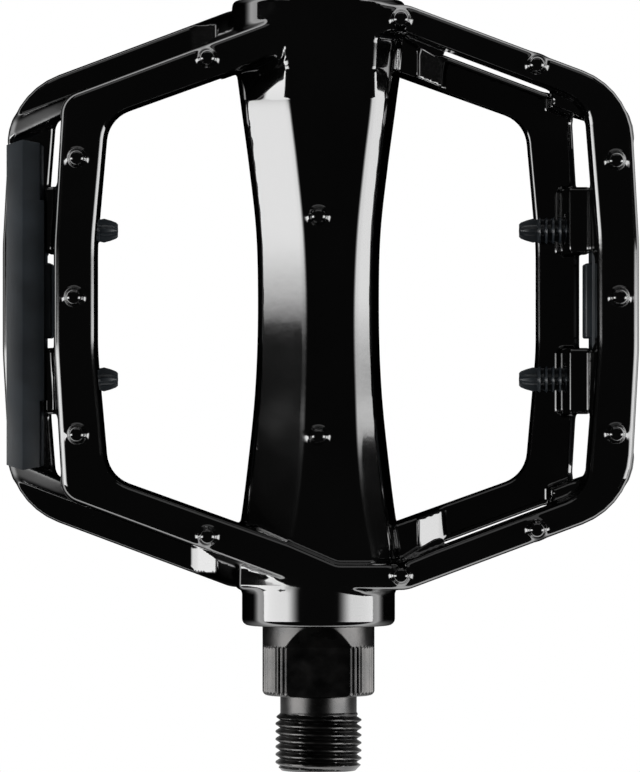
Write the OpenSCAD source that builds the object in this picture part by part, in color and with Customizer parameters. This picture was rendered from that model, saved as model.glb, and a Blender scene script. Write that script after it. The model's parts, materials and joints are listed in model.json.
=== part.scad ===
// Flat bicycle pedal, left side, with a cast two-plate cage on a cup-and-cone spindle.
// Millimetres. The origin is the centre of the spindle shoulder that seats on the crank.
// +Y runs along the spindle from the crank to the outboard end, +Z is up.
// The cage looks the same after half a turn about the spindle, so most of it is drawn
// once, on the upper side, and repeated by half_turns().

/* [Crank end] */
// Diameter over the crests of the left-hand crank thread, 9/16 inch by 20 per inch
thread_d = 14.288; // [14.1:0.001:14.3]
// Length of the full thread
thread_length = 8.9; // [8:0.1:9.5]
// Length of the chamfered lead-in at the spindle's end
thread_chamfer = 0.9; // [0.5:0.1:1.2]
// Length of the relief neck between the thread and the collar
neck_length = 2.7; // [2:0.1:3]
// Diameter of the relief neck
neck_d = 12.7; // [12:0.1:13]
// Diameter of the collar
collar_d = 18.6; // [18.2:0.1:18.6]
// Length of the collar
collar_length = 13.4; // [13:0.1:13.6]
// Distance across the two wrench flats
flats_across = 15; // [14.5:0.1:16]
// Length of the wrench flats before they run out
flats_length = 8.1; // [7.5:0.1:8.5]

/* [Cage] */
// Distance from the crank face to the middle of the cage
cage_y = 65.9; // [65.5:0.1:66]
// Half of the cage's length along the spindle
cage_half_y = 48.3; // [48:0.1:48.4]
// Half of one plate's width
plate_half_x = 48.3; // [48:0.1:48.6]
// Sideways offset of each plate from the spindle axis
plate_shift = 4.6; // [4.4:0.1:4.8]
// Thickness over the outer faces of both plates
cage_thick = 25; // [24.6:0.1:26]
// Thickness of one plate
plate_thick = 6; // [5.6:0.1:6.4]
// Width of the side rails
rail_width = 7.45; // [7:0.05:7.8]
// How far the middle of a side rail bows outwards
rail_bow = 0.8; // [0.4:0.1:1]
// Half length of the open bay between the corner webs
bay_half_y = 29.3; // [29:0.1:30]
// Distance from the spindle axis to the inner face of a corner web
web_x = 38.5; // [38:0.1:39]

/* [Barrel] */
// Half width of the barrel at its waist
waist_half_x = 10.2; // [10:0.1:10.8]
// Half height of the barrel
barrel_half_z = 11.2; // [11:0.1:11.5]
// Sideways offset of the barrel's top facet
facet_shift = 2; // [1.8:0.1:2.4]
// Slope of the wide facet beside the top one, in degrees
wide_facet_angle = 36; // [32:1:40]
// Slope of the narrow facet on the other side, in degrees
narrow_facet_angle = 40; // [36:1:44]
// Radius of the round boss at the crank end
boss_r = 12.7; // [12.3:0.1:13]
// Distance from the crank face to the start of the round boss
boss_y = 11.6; // [11.3:0.1:11.8]

/* [Studs] */
// Height of a stud above the plate
stud_height = 2; // [1.5:0.1:2.5]
// Diameter of a stud near its top
stud_d = 2.8; // [2.4:0.1:3.2]
// Diameter of a stud's flared foot
stud_foot_d = 4.2; // [3.8:0.1:4.6]

/* [Bearings] */
// Diameter of the loose balls, 5/32 inch
ball_d = 3.969; // [3.95:0.001:3.969]
// Gap between a ball and its race
ball_gap = 0.045; // [0.03:0.005:0.06]
// Radius of the inboard ball circle
inboard_ball_r = 7.2; // [7.15:0.05:7.3]
// Number of inboard balls
inboard_ball_count = 11; // [11:11]
// Radius of the outboard ball circle
outboard_ball_r = 6.5; // [6.45:0.05:6.6]
// Number of outboard balls
outboard_ball_count = 10; // [10:10]

/* [Reflectors] */
// Length of a reflector along the spindle
reflector_length = 54.5; // [52:0.5:55]
// Height of a reflector
reflector_height = 14.7; // [14:0.1:14.7]
// Thickness of a reflector
reflector_thick = 6.2; // [6:0.1:6.4]
// Diameter over the barbs of a peg
peg_d = 4.4; // [4.2:0.1:4.45]

/* [Hidden] */
$fn = 64;
over = 1;

plate_z = cage_thick / 2;
plate_low = plate_z - plate_thick;

// Distances from the crank face along the spindle
inboard_ball_y = 16.6;
outboard_ball_y = 97.5;
seal_y = [12, 14.4];
inboard_cup_y = [14.6, 20];
outboard_cup_y = [94.1, 99.5];
cone_y = [outboard_ball_y, 102.5];
washer_y = [cone_y[1], 103.8];
nut_y = [washer_y[1], 108.3];
tip_y = 108.9;
cap_skirt_y = 109.5;
cap_flange_y = 112.9;
cap_face_y = 115;
cage_end_y = 115.2;

// Radii about the spindle axis
seal_bore_r = 10.6;
inboard_cup_r = 10.3;
outboard_cup_r = 9.5;
middle_bore_r = 7;
cap_seat_r = 10.05;
cap_r = 10;
seal_gap = 0.06;
race_lip_r = 8.4;
race_lip_y = 15.2;
shaft_r = 5.1;
shaft_end_r = 4.4;
shaft_end_y = 95;
tip_thread_r = 4;
tip_bore_r = 4.05;
groove_r = ball_d / 2 + ball_gap;

// Reflector on the -X side; the other one is its half turn
reflector_x = -45.2;
bulge = [1.1, 12.4, 11];
reflector_y = cage_y - 1.25;
reflector_z = 1.15;
rim = 1.5;
pocket_depth = 2;
lens_gap = 0.05;
peg_y = [cage_y - 13.5, cage_y + 11.2];
peg_tip_x = -33.3;
barb_pitch = 1.15;
peg_hole_r = 2.25;
boss_spans = [[cage_y - 19.25, cage_y - 8.3], [cage_y + 7.3, cage_y + 18.3]];

COMMON_NODES = [
    "cage_body", "spindle", "inboard_cup", "outboard_cup", "outboard_cone",
    "lock_washer", "lock_nut", "inboard_seal", "dust_cap",
    "reflector_housing_left", "reflector_housing_right",
    "reflector_lens_left", "reflector_lens_right"
];
INBOARD_BALLS = [for (i = [1:inboard_ball_count]) str("inboard_ball_", i)];
OUTBOARD_BALLS = [for (i = [1:outboard_ball_count]) str("outboard_ball_", i)];

function unit(v) = v / norm(v);

// Points of an arc of radius r that rounds the corner at v between p and n
function corner_arc(p, v, n, r, steps = 8) =
    let (
        a = unit(p - v),
        b = unit(n - v),
        half = acos(a * b) / 2,
        c = v + unit(a + b) * r / sin(half),
        from = v + a * r / tan(half) - c,
        to = v + b * r / tan(half) - c,
        start = atan2(from.y, from.x),
        turn = atan2(to.y, to.x) - start,
        sweep = turn > 180 ? turn - 360 : turn < -180 ? turn + 360 : turn
    )
    [for (i = [0:steps]) c + r * [cos(start + sweep * i / steps), sin(start + sweep * i / steps)]];

// An outline whose corners are [x, y, radius]; a corner of radius 0 stays sharp
function rounded(corners) = [
    for (i = [0:len(corners) - 1])
        let (
            k = len(corners),
            p = corners[(i + k - 1) % k],
            v = corners[i],
            n = corners[(i + 1) % k]
        )
        each v[2] == 0 ? [[v.x, v.y]]
            : corner_arc([p.x, p.y], [v.x, v.y], [n.x, n.y], v[2])
];

// Half an outline, given from +X to -X on the outboard side, closed by its mirror image
function mirrored(half) = concat(half, [for (i = [len(half) - 1:-1:0]) [half[i].x, -half[i].y, half[i][2]]]);

// Turns +Z into +Y and starts at distance y from the crank face
module along_spindle(y = 0) {
    translate([0, y, 0]) rotate([-90, 0, 0]) children();
}

// Turns a [radius, distance] outline about the spindle axis
module turned() {
    along_spindle() rotate_extrude($fn = 96) children();
}

module half_turns() {
    children();
    rotate([0, 180, 0]) children();
}

// Outline of the upper plate about its own centre; +X is the side that overhangs
module plate_outline() {
    side = plate_half_x - rail_bow;
    polygon(rounded(mirrored([
        [plate_half_x, 10, 0],
        [side, 34.5, 13],
        [10, cage_half_y, 6],
        [-5.5, cage_half_y, 6],
        [-side, 33.9, 4],
        [-plate_half_x, 10, 0]
    ])));
}

// The opening inside the plate's rim
module plate_window() {
    inner = plate_half_x - rail_width;
    polygon(rounded(mirrored([
        [inner, 10, 0],
        [inner - rail_bow, 31.6, 5.5],
        [14.4, 39.8, 3],
        [9, 43.4, 1.5],
        [-1.5, 43.4, 3],
        [-9.2, 40.1, 2],
        [-(inner - rail_bow), 29.1, 5.5],
        [-inner, 10, 0]
    ])));
}

module ring_plate() {
    translate([plate_shift, cage_y, plate_low]) linear_extrude(plate_thick) difference() {
        plate_outline();
        plate_window();
    }
}

// Thin slice just inside the upper plate's outline near one corner
module web_slice(side, end) {
    translate([0, 0, plate_low - 0.2]) linear_extrude(0.4) intersection() {
        translate([plate_shift, cage_y]) scale(0.993) plate_outline();
        translate([side * (web_x + cage_half_y / 2), cage_y + end * (bay_half_y + cage_half_y / 2)])
            square(cage_half_y, center = true);
    }
}

// Slanting rib that joins the plates near one corner and closes the bay's end
module corner_web(side, end) {
    far_x = web_x + 15.5;
    inner_y = bay_half_y + 2.3;
    rib = 3;
    intersection() {
        hull() {
            web_slice(side, end);
            rotate([0, 180, 0]) web_slice(-side, end);
        }
        translate([0, cage_y, -cage_thick / 2]) scale([side, end, 1]) linear_extrude(cage_thick)
            polygon([
                [web_x, inner_y], [far_x, inner_y - 5.8],
                [far_x, inner_y - 5.8 + rib], [web_x, inner_y + rib]
            ]);
    }
}

// Half the corners of the barrel's cross-section, which repeats after half a turn.
// w is the half width, t half the top facet's width, h the half height.
function barrel_half(w, t, h) =
    let (
        wide_x = 0.95 * w,
        narrow_x = 0.88 * w,
        wide_drop = (wide_x - t + facet_shift) * tan(wide_facet_angle),
        narrow_drop = (narrow_x - t - facet_shift) * tan(narrow_facet_angle)
    )
    [
        [facet_shift + t, h],
        [facet_shift - t, h],
        [-wide_x, h - wide_drop],
        [-w, 0.1 * h],
        [-narrow_x, narrow_drop - h]
    ];
function barrel_section(y, w, t, h) = [
    for (s = [1, -1]) for (p = barrel_half(w, t, h)) [s * p.x, cage_y + y, s * p[1]]
];

// Solid through equal cross-sections, one after another
module loft(sections) {
    n = len(sections[0]);
    last = len(sections) - 1;
    walls = [
        for (k = [0:last - 1]) for (i = [0:n - 1])
            let (a = k * n + i, b = k * n + (i + 1) % n)
            each [[a, b, a + n], [b, b + n, a + n]]
    ];
    caps = [for (i = [1:n - 2]) each [[0, i + 1, i], [last * n, last * n + i, last * n + i + 1]]];
    polyhedron([for (s = sections) each s], concat(walls, caps), convexity = 4);
}

// The barrel widens from its waist to both ends and rises to the plates at the outboard end
module barrel() {
    end_z = plate_z - 0.2;
    stations = [
        [-cage_half_y, 14, 7.8, barrel_half_z], [-41, 13.7, 6.7, barrel_half_z],
        [-35.8, 12.9, 5.7, barrel_half_z], [-27, 11.8, 4.7, barrel_half_z], [-16, 10.7, 4.2, barrel_half_z],
        [0, waist_half_x, 4, barrel_half_z], [11, 10.5, 4.5, barrel_half_z], [22, 11.7, 5.6, barrel_half_z],
        [32.5, 13.1, 6.8, barrel_half_z], [37.5, 13.8, 7.2, end_z], [cage_half_y, 14.2, 7.4, end_z]
    ];
    loft([for (s = stations) barrel_section(s[0], s[1], s[2], s[3])]);
}

// Upper half of the block between the plates that joins the barrel's end to their arms.
// Its inner side follows the plate's window, and it flares under the plate.
module end_block(end) {
    half = plate_low + 0.1;
    waist = [16.5, 2.6];
    flare_x = 21;
    translate([0, cage_y, 0]) scale([1, end, 1]) intersection() {
        translate([0, 0, -0.1]) linear_extrude(half + 0.1) polygon([
            [-22, 34.2], [-6, 39.9], [3.1, 43.2], [13.6, 43.2], [19, 39.9], [22, 39],
            [22, 44.6], [14, 47.4], [-1, 47.4], [-9, 44.9], [-22, 40.5]
        ]);
        translate([0, cage_half_y, 0]) rotate([90, 0, 0]) linear_extrude(cage_half_y) polygon([
            [-waist.x, -1], [waist.x, -1], waist, [flare_x, half], [-flare_x, half], [-waist.x, waist.y]
        ]);
    }
}

// Round nose of the outboard end, flush with both plates
module outboard_nose() {
    nose_y = 99;
    nose_r = 14.3;
    intersection() {
        along_spindle(nose_y) cylinder(r = nose_r, h = cage_end_y - nose_y);
        translate([0, nose_y, 0]) cube([3 * nose_r, 4 * nose_r, cage_thick], center = true);
    }
}

// Upright web on the overhanging side that holds one reflector peg
module peg_web(span) {
    translate([0, span[1], 0]) rotate([90, 0, 0]) linear_extrude(span[1] - span[0])
        polygon([
            [39.6, -10.5], [43, -10.5], [43.4, -7], [-reflector_x, -6.8], [-reflector_x, plate_low + 0.5],
            [48, plate_low + 0.5], [48, 10.5], [46.2, 10.5], [44.6, 8.2], [43.8, 5.6], [41.6, 4.8]
        ]);
}

module stud() {
    top_r = stud_d / 2;
    rotate_extrude($fn = 24) polygon([
        [0, -1], [stud_foot_d / 2, -1], [stud_foot_d / 2, 0], [top_r + 0.15, 0.25 * stud_height],
        [top_r, 0.8 * stud_height], [0.7 * top_r, stud_height], [0, stud_height]
    ]);
}

// Studs of the upper face: three on each rail, three on each arm, two on the barrel
module studs() {
    rails = [[-44.2, 22.8], [-44.7, 0], [-44.2, -22.5], [44.2, 22.4], [44.8, 0], [44.2, -22.4]];
    arms = [for (end = [-1, 1]) for (p = [[-22.8, 39.2], [8.9, 45.6], [31.2, 38.1]]) [p.x, end * p.y]];
    for (p = concat(rails, arms))
        translate([plate_shift + p.x, cage_y + p.y, plate_z]) stud();
    for (y = [13.3, -22.8])
        translate([0, cage_y + y, barrel_half_z]) stud();
}

// Space inside the barrel for the seal, the cups, the spindle and the cap
module barrel_bore() {
    along_spindle(boss_y - 1) cylinder(r = seal_bore_r, h = inboard_cup_y[0] - boss_y + 1);
    along_spindle(boss_y) cylinder(r = inboard_cup_r, h = inboard_cup_y[1] - boss_y);
    along_spindle(boss_y) cylinder(r = middle_bore_r, h = cage_end_y - boss_y);
    along_spindle(outboard_cup_y[0]) cylinder(r = outboard_cup_r, h = cage_end_y - outboard_cup_y[0]);
    along_spindle(cap_flange_y) cylinder(r = cap_seat_r, h = cage_end_y - cap_flange_y + 1);
}

module cage_body() {
    color([0.05, 0.05, 0.06]) difference() {
        union() {
            half_turns() {
                ring_plate();
                studs();
                for (end = [-1, 1])
                    end_block(end);
                for (span = boss_spans)
                    peg_web(span);
            }
            for (side = [-1, 1])
                for (end = [-1, 1])
                    corner_web(side, end);
            barrel();
            outboard_nose();
            along_spindle(boss_y) cylinder(r = boss_r, h = 8);
        }
        barrel_bore();
        half_turns() for (y = peg_y)
            translate([web_x, y, 0]) rotate([0, 90, 0]) cylinder(r = peg_hole_r, h = 8);
    }
}

// Space cut away above one wrench flat, with a ramp where the cutter leaves the collar
module wrench_cut() {
    flat_z = flats_across / 2;
    top_z = collar_d / 2 + over;
    ramp_rise = 0.47;
    translate([-collar_d, 0, 0]) rotate([90, 0, 90]) linear_extrude(2 * collar_d) polygon([
        [-over, flat_z], [flats_length, flat_z],
        [flats_length + (top_z - flat_z) / ramp_rise, top_z], [-over, top_z]
    ]);
}

// Section of a ball groove in an outline that is turned about the spindle axis
module groove(ball_r, y) {
    translate([ball_r, y]) circle(r = groove_r, $fn = 96);
}

module spindle() {
    thread_r = thread_d / 2;
    collar_r = collar_d / 2;
    thread_y = -neck_length - thread_length;
    end_y = thread_y - thread_chamfer;
    color([0.16, 0.16, 0.17]) difference() {
        turned() difference() {
            polygon([
                [0, end_y], [thread_r - thread_chamfer, end_y], [thread_r, thread_y],
                [thread_r, -neck_length], [neck_d / 2, -neck_length], [neck_d / 2, 0],
                [collar_r, 0], [collar_r, collar_length], [race_lip_r, collar_length],
                [race_lip_r, race_lip_y], [inboard_ball_r, race_lip_y],
                [inboard_ball_r, inboard_ball_y], [shaft_r, inboard_ball_y],
                [shaft_end_r, shaft_end_y], [tip_thread_r, shaft_end_y],
                [tip_thread_r, tip_y - 0.5], [tip_thread_r - 0.5, tip_y], [0, tip_y]
            ]);
            groove(inboard_ball_r, inboard_ball_y);
        }
        half_turns() wrench_cut();
        along_spindle(end_y - over) cylinder(r1 = 2.6, r2 = 0, h = 3);
    }
}

// Ring with a quarter-round race that faces the crank
module inboard_cup() {
    inner_r = 6.6;
    color("silver") turned() difference() {
        translate([inner_r, inboard_cup_y[0]])
            square([inboard_cup_r - inner_r, inboard_cup_y[1] - inboard_cup_y[0]]);
        square([inboard_ball_r + groove_r, inboard_ball_y]);
        groove(inboard_ball_r, inboard_ball_y);
    }
}

// Ring with a quarter-round race that faces outboard
module outboard_cup() {
    inner_r = 5.9;
    color("silver") turned() difference() {
        translate([inner_r, outboard_cup_y[0]])
            square([outboard_cup_r - inner_r, outboard_cup_y[1] - outboard_cup_y[0]]);
        translate([0, outboard_ball_y]) square([outboard_ball_r + groove_r, 2 * ball_d]);
        groove(outboard_ball_r, outboard_ball_y);
    }
}

// Threaded cone that closes the outboard ball ring, with two spanner flats
module outboard_cone() {
    outer_r = 7.6;
    cone_flats = 13;
    flat_start_y = 100;
    color("silver") difference() {
        turned() difference() {
            polygon([
                [tip_bore_r, cone_y[0]], [outboard_ball_r, cone_y[0]], [outer_r, cone_y[0] + 1.1],
                [outer_r, cone_y[1]], [tip_bore_r, cone_y[1]]
            ]);
            groove(outboard_ball_r, outboard_ball_y);
        }
        half_turns() translate([-10, flat_start_y, cone_flats / 2]) cube([20, 5, 5]);
    }
}

module lock_washer() {
    washer_r = 6.6;
    color("darkgray") turned()
        translate([tip_bore_r, washer_y[0]]) square([washer_r - tip_bore_r, washer_y[1] - washer_y[0]]);
}

module lock_nut() {
    nut_flats = 12;
    corner_r = nut_flats / 2 / cos(30);
    thick = nut_y[1] - nut_y[0];
    color("darkgray") difference() {
        intersection() {
            along_spindle(nut_y[0]) cylinder(r = corner_r, h = thick, $fn = 6);
            turned() polygon([
                [0, nut_y[0]], [corner_r, nut_y[0]], [corner_r, nut_y[1] - 0.5],
                [corner_r - 0.8, nut_y[1]], [0, nut_y[1]]
            ]);
        }
        along_spindle(nut_y[0] - over) cylinder(r = tip_bore_r, h = thick + 2 * over);
    }
}

// Lipped ring that runs on the collar
module inboard_seal() {
    lip_r = collar_d / 2 + seal_gap;
    web = 0.6;
    color([0.03, 0.03, 0.03]) turned() polygon([
        [lip_r, seal_y[0]], [seal_bore_r, seal_y[0]], [seal_bore_r, seal_y[1]],
        [seal_bore_r - web, seal_y[1]], [seal_bore_r - web, seal_y[0] + 2 * web],
        [lip_r, seal_y[0] + 2 * web]
    ]);
}

// Cap with a coin slot that closes the outboard end
module dust_cap() {
    skirt_r = outboard_cup_r - 0.05;
    wall = 1.45;
    edge = 0.4;
    slot = [12, 1, 1.8];
    color([0.04, 0.04, 0.04]) difference() {
        turned() polygon([
            [0, cap_face_y - 1.6], [skirt_r - wall, cap_face_y - 1.6], [skirt_r - wall, cap_skirt_y],
            [skirt_r, cap_skirt_y], [skirt_r, cap_flange_y], [cap_r, cap_flange_y],
            [cap_r, cap_face_y - edge], [cap_r - edge, cap_face_y], [0, cap_face_y]
        ]);
        translate([0, cap_face_y, 0]) cube([slot.x, 2 * slot.y, slot.z], center = true);
    }
}

// Rounded bar of the reflector's outline, from x0 to x1, smaller all round by inset
module reflector_bar(x0, x1, inset, corner_r) {
    half = [reflector_length / 2 - inset, reflector_height / 2 - inset];
    translate([x0, reflector_y, reflector_z]) rotate([90, 0, 90]) linear_extrude(x1 - x0)
        polygon(rounded([for (s = [[1, 1], [-1, 1], [-1, -1], [1, -1]])
            [s.x * half.x, s.y * half.y, corner_r]]));
}

// Push-in peg with a row of barbs, pointing along +X from the reflector's back
module peg() {
    core_r = 1.5;
    tip_r = 1.25;
    length = peg_tip_x - reflector_x;
    barbs = 8;
    first = 1.4;
    rotate([0, 90, 0]) rotate_extrude($fn = 32) polygon(concat(
        [[0, -0.5], [core_r, -0.5]],
        [for (i = [0:barbs - 1]) let (d = first + i * barb_pitch)
            each [[core_r, d], [peg_d / 2, d + 0.15], [peg_d / 2, d + 0.45], [core_r, d + 0.95]]],
        [[core_r + 0.3, length - 1.8], [tip_r, length], [0, length]]
    ));
}

module reflector_housing() {
    outer_x = reflector_x - reflector_thick;
    color([0.05, 0.05, 0.06]) difference() {
        union() {
            reflector_bar(outer_x, reflector_x, 0, 2);
            translate([reflector_x - over, cage_y - 0.5 - bulge.y / 2, reflector_z - bulge.z / 2])
                cube([bulge.x + over, bulge.y, bulge.z]);
            for (y = peg_y)
                translate([reflector_x, y, 0]) peg();
        }
        reflector_bar(outer_x - over, outer_x + pocket_depth, rim, 1);
    }
}

module reflector_lens() {
    outer_x = reflector_x - reflector_thick;
    color([1, 0.45, 0.02])
        reflector_bar(outer_x + 0.3, outer_x + pocket_depth, rim + lens_gap, 1);
}

// One loose ball; the balls of a ring are spaced evenly
module ball(ring_r, ring_y, index, count) {
    angle = 360 * (index - 1) / count;
    color("gainsboro") translate([ring_r * cos(angle), ring_y, ring_r * sin(angle)]) sphere(d = ball_d);
}

cage_body();
spindle();
inboard_cup();
outboard_cup();
outboard_cone();
lock_washer();
lock_nut();
inboard_seal();
dust_cap();
reflector_housing();  // reflector_housing_left
rotate([0, 180, 0]) reflector_housing();  // reflector_housing_right
reflector_lens();  // reflector_lens_left
rotate([0, 180, 0]) reflector_lens();  // reflector_lens_right
for (i = [1:inboard_ball_count])
    ball(inboard_ball_r, inboard_ball_y, i, inboard_ball_count);
for (i = [1:outboard_ball_count])
    ball(outboard_ball_r, outboard_ball_y, i, outboard_ball_count);
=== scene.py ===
"""Looks of the flat bicycle pedal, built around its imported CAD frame.

Geometry below is in millimetres in the frame's own axes and becomes metres in new_mesh().
The frame's +Y runs along the spindle to the outboard end, +X crosses the cage, +Z is up.
"""

import json
import math

import bmesh
import bpy
import numpy as np
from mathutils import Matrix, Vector

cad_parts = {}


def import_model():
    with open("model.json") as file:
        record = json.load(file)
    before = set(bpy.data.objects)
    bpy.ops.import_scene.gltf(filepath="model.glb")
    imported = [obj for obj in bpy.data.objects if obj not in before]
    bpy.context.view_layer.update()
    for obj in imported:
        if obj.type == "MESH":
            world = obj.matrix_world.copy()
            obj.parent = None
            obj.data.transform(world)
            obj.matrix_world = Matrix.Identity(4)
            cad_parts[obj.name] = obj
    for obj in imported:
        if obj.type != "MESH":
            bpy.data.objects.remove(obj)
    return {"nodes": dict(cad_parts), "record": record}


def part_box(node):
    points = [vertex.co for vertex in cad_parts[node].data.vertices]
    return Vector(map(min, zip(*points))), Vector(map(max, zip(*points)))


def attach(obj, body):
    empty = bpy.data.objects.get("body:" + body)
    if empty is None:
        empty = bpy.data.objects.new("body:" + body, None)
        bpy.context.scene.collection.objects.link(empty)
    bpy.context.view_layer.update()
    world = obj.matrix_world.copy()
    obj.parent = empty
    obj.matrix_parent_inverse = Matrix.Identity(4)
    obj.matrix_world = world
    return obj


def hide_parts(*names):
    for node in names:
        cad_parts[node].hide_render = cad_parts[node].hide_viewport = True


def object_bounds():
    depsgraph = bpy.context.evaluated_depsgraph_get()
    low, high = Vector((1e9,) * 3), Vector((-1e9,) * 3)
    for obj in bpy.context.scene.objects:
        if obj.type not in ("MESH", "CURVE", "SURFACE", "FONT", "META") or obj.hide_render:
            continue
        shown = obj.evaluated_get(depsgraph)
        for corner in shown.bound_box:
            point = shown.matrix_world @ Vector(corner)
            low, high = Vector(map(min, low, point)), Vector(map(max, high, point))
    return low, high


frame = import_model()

MM = 0.001


def box_as_lists(box):
    return [[float(v) for v in corner] for corner in box]


CAD_BOX = box_as_lists(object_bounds())


def node_box(name):
    """Lowest and highest corner of a CAD node, in millimetres."""
    low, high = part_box(name)
    return [v / MM for v in low], [v / MM for v in high]


CAGE_LOW, CAGE_HIGH = node_box("cage_body")
SPINDLE_LOW, SPINDLE_HIGH = node_box("spindle")

# ---------------------------------------------------------------- cage sizes
# The casting's middle and half length along the spindle, and how far each plate is set off sideways
CAGE_Y = 65.9
HALF_Y = 48.3
PLATE_SHIFT = 4.6
PLATE_HALF_X = CAGE_HIGH[0] - PLATE_SHIFT
PLATE_TOP = 12.5
PLATE_LOW = 6.5
PLATE_EDGE = 1.1
PLATE_DRAFT = 0.06
RAIL_WIDTH = 7.45
# How far the outer and inner edge of a rail curve in towards its ends
OUTER_BOW = 1.4
INNER_BOW = 1.8
WEB_X = 38.5
FACET_SHIFT = 2.0
BARREL_HALF_Z = 11.2
# Barrel along the spindle, from the cage's middle: distance, half width, half width of the top facet
BARREL_STATIONS = (
    (-48.3, 14.0, 7.8), (-41, 13.7, 6.7), (-35.8, 12.9, 5.7), (-27, 11.8, 4.7), (-16, 10.7, 4.2),
    (0, 10.2, 4.0), (11, 10.5, 4.5), (22, 11.7, 5.6), (32.5, 13.1, 6.8), (40, 14.0, 7.2), (48.3, 14.2, 7.4))
# Slopes of the two facets beside the top one, and how much steeper they are past the rise
WIDE_FACET_ANGLE = 36
NARROW_FACET_ANGLE = 40
STEEPER = (12, 10)
# Where those two facets end, as shares of the half width, and the level of the widest line
FACET_SHARES = (0.95, 0.88)
WIDEST_LEVEL = 0.1
FACET_EDGE = 0.6
# Where the barrel's top climbs to the plates' level, and by how much
RISE = (32.6, 37.8)
RISE_HEIGHT = 1.3
PROUD = 1.5
PROUD_FROM = 0.85
PROUD_SPAN = 0.15
FLARE_HALF_X = 21.0
FLARE_WAIST = (16.5, 2.6)
BOSS_R = 12.7
BOSS_Y = CAGE_LOW[1]
BOSS_LENGTH = 9
NOSE_R = 14.3
NOSE_START_Y = 108.9
NOSE_END_Y = CAGE_HIGH[1]
STUD_HEIGHT = 2.0
STUD_R = 1.45
STUD_DOME = 0.75
STUD_TAPER = 0.1
STUD_ROOT = 3
PEG_HOLE_R = 2.25
PEG_HOLE_END = 46.5
PEG_YS = (-13.5, 11.2)
WEB_SPANS = ((-19.25, -8.3), (7.3, 18.3))
REFLECTOR_X = 45.2
# Bores about the spindle axis: radius, first and last distance from the crank face
BORES = (
    (10.6, 10.0, 14.6), (10.3, 14.0, 20.0), (7.0, 19.0, 95.0), (9.5, 94.1, 113.0), (10.05, 112.9, 118.0))
RAIL_STUDS = ((-44.2, 22.8), (-44.7, 0.0), (-44.2, -22.5), (44.2, 22.4), (44.8, 0.0), (44.2, -22.4))
ARM_STUDS = ((-22.8, 39.2), (8.9, 45.6), (31.2, 38.1))
BARREL_STUDS = (13.3, -22.8)
# Rounded edges, and fillets where two parts of the casting meet
BODY_EDGE = 0.9
LEVEL_EDGE = 0.5
PLATE_FILLET = 0.9
ARM_FILLET_MORE = 1.3
WALL_INSET = 0.3
RIB_EDGE = 0.8
RIB_FILLET = 1.2
BLOCK_FILLET = 0.8
WEB_FILLET = 1.0
BOSS_EDGE = 1.1
BOSS_FILLET = 0.9
NOSE_EDGE = 0.9
NOSE_LEVEL_EDGE = 1.0
NOSE_FILLET = 0.9
STUD_FILLET = 1.0
BORE_EDGE = 0.3


# ---------------------------------------------------------------- outlines
def corner_arc(p, v, n, r, steps=7):
    """Points of the arc of radius r that rounds corner v between p and n."""
    a, b = (p - v) / np.linalg.norm(p - v), (n - v) / np.linalg.norm(n - v)
    half = math.acos(float(a @ b)) / 2
    centre = v + (a + b) / np.linalg.norm(a + b) * r / math.sin(half)
    start, end = v + a * r / math.tan(half) - centre, v + b * r / math.tan(half) - centre
    first = math.atan2(start[1], start[0])
    sweep = (math.atan2(end[1], end[0]) - first + math.pi) % (2 * math.pi) - math.pi
    turns = first + sweep * np.arange(steps + 1) / steps
    return [centre + r * np.array((math.cos(t), math.sin(t))) for t in turns]


def rounded(corners):
    """A closed outline from corners (x, y, radius); radius 0 stays sharp."""
    out = []
    for i, (x, y, r) in enumerate(corners):
        p, n = corners[i - 1], corners[(i + 1) % len(corners)]
        v = np.array((x, y), float)
        out += corner_arc(np.array(p[:2], float), v, np.array(n[:2], float), r) if r else [v]
    return np.array(out)


def mirrored(half):
    """Closes the outboard half of an outline, given from +X to -X, with its mirror image."""
    return half + [(x, -y, r) for x, y, r in reversed(half)]


def plate_outline():
    side = PLATE_HALF_X - OUTER_BOW
    return rounded(mirrored([
        (PLATE_HALF_X, 9, 60), (side, 34.5, 13), (10, HALF_Y, 6),
        (-5.5, HALF_Y, 6), (-side, 32.9, 4), (-PLATE_HALF_X, 9, 60)]))


def plate_window():
    inner = PLATE_HALF_X - RAIL_WIDTH
    corner = inner - INNER_BOW
    return rounded(mirrored([
        (inner, 9, 60), (corner, 31.9, 5.5), (14.4, 41.2, 3), (9, 43.4, 1.5),
        (-1.5, 43.4, 3), (-9.2, 40.1, 2), (-corner, 29.4, 5.5), (-inner, 9, 60)]))


# ---------------------------------------------------------------- distance functions
# Each takes coordinate arrays that broadcast together and returns millimetres,
# negative inside the solid.
def polygon_distance(points, x, y):
    """Signed distance to a closed outline."""
    best, inside = None, None
    for (ax, ay), (bx, by) in zip(points, np.roll(points, -1, axis=0)):
        ex, ey = bx - ax, by - ay
        px, py = x - ax, y - ay
        t = np.clip((px * ex + py * ey) / (ex * ex + ey * ey), 0, 1)
        d = (px - ex * t) ** 2 + (py - ey * t) ** 2
        best = d if best is None else np.minimum(best, d)
        if ey:
            crosses = ((ay > y) != (by > y)) & (px < py * ex / ey)
            inside = crosses if inside is None else inside ^ crosses
    return np.sqrt(best) * np.where(inside, -1.0, 1.0)


def smooth_union(a, b, k):
    h = np.maximum(k - np.abs(a - b), 0) / k
    return np.minimum(a, b) - h * h * k / 4


def smooth_cut(a, b, k):
    """a without b, with its new edges rounded."""
    return -smooth_union(-a, b, k)


def smooth_meet(a, b, k):
    return -smooth_union(-a, -b, k)


def round_meet(a, b, r):
    """Intersection whose edge is a true arc of radius r."""
    a, b = a + r, b + r
    return np.minimum(np.maximum(a, b), 0) + np.hypot(np.maximum(a, 0), np.maximum(b, 0)) - r


def smoothstep(low, high, v):
    t = np.clip((v - low) / (high - low), 0, 1)
    return t * t * (3 - 2 * t)


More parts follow.
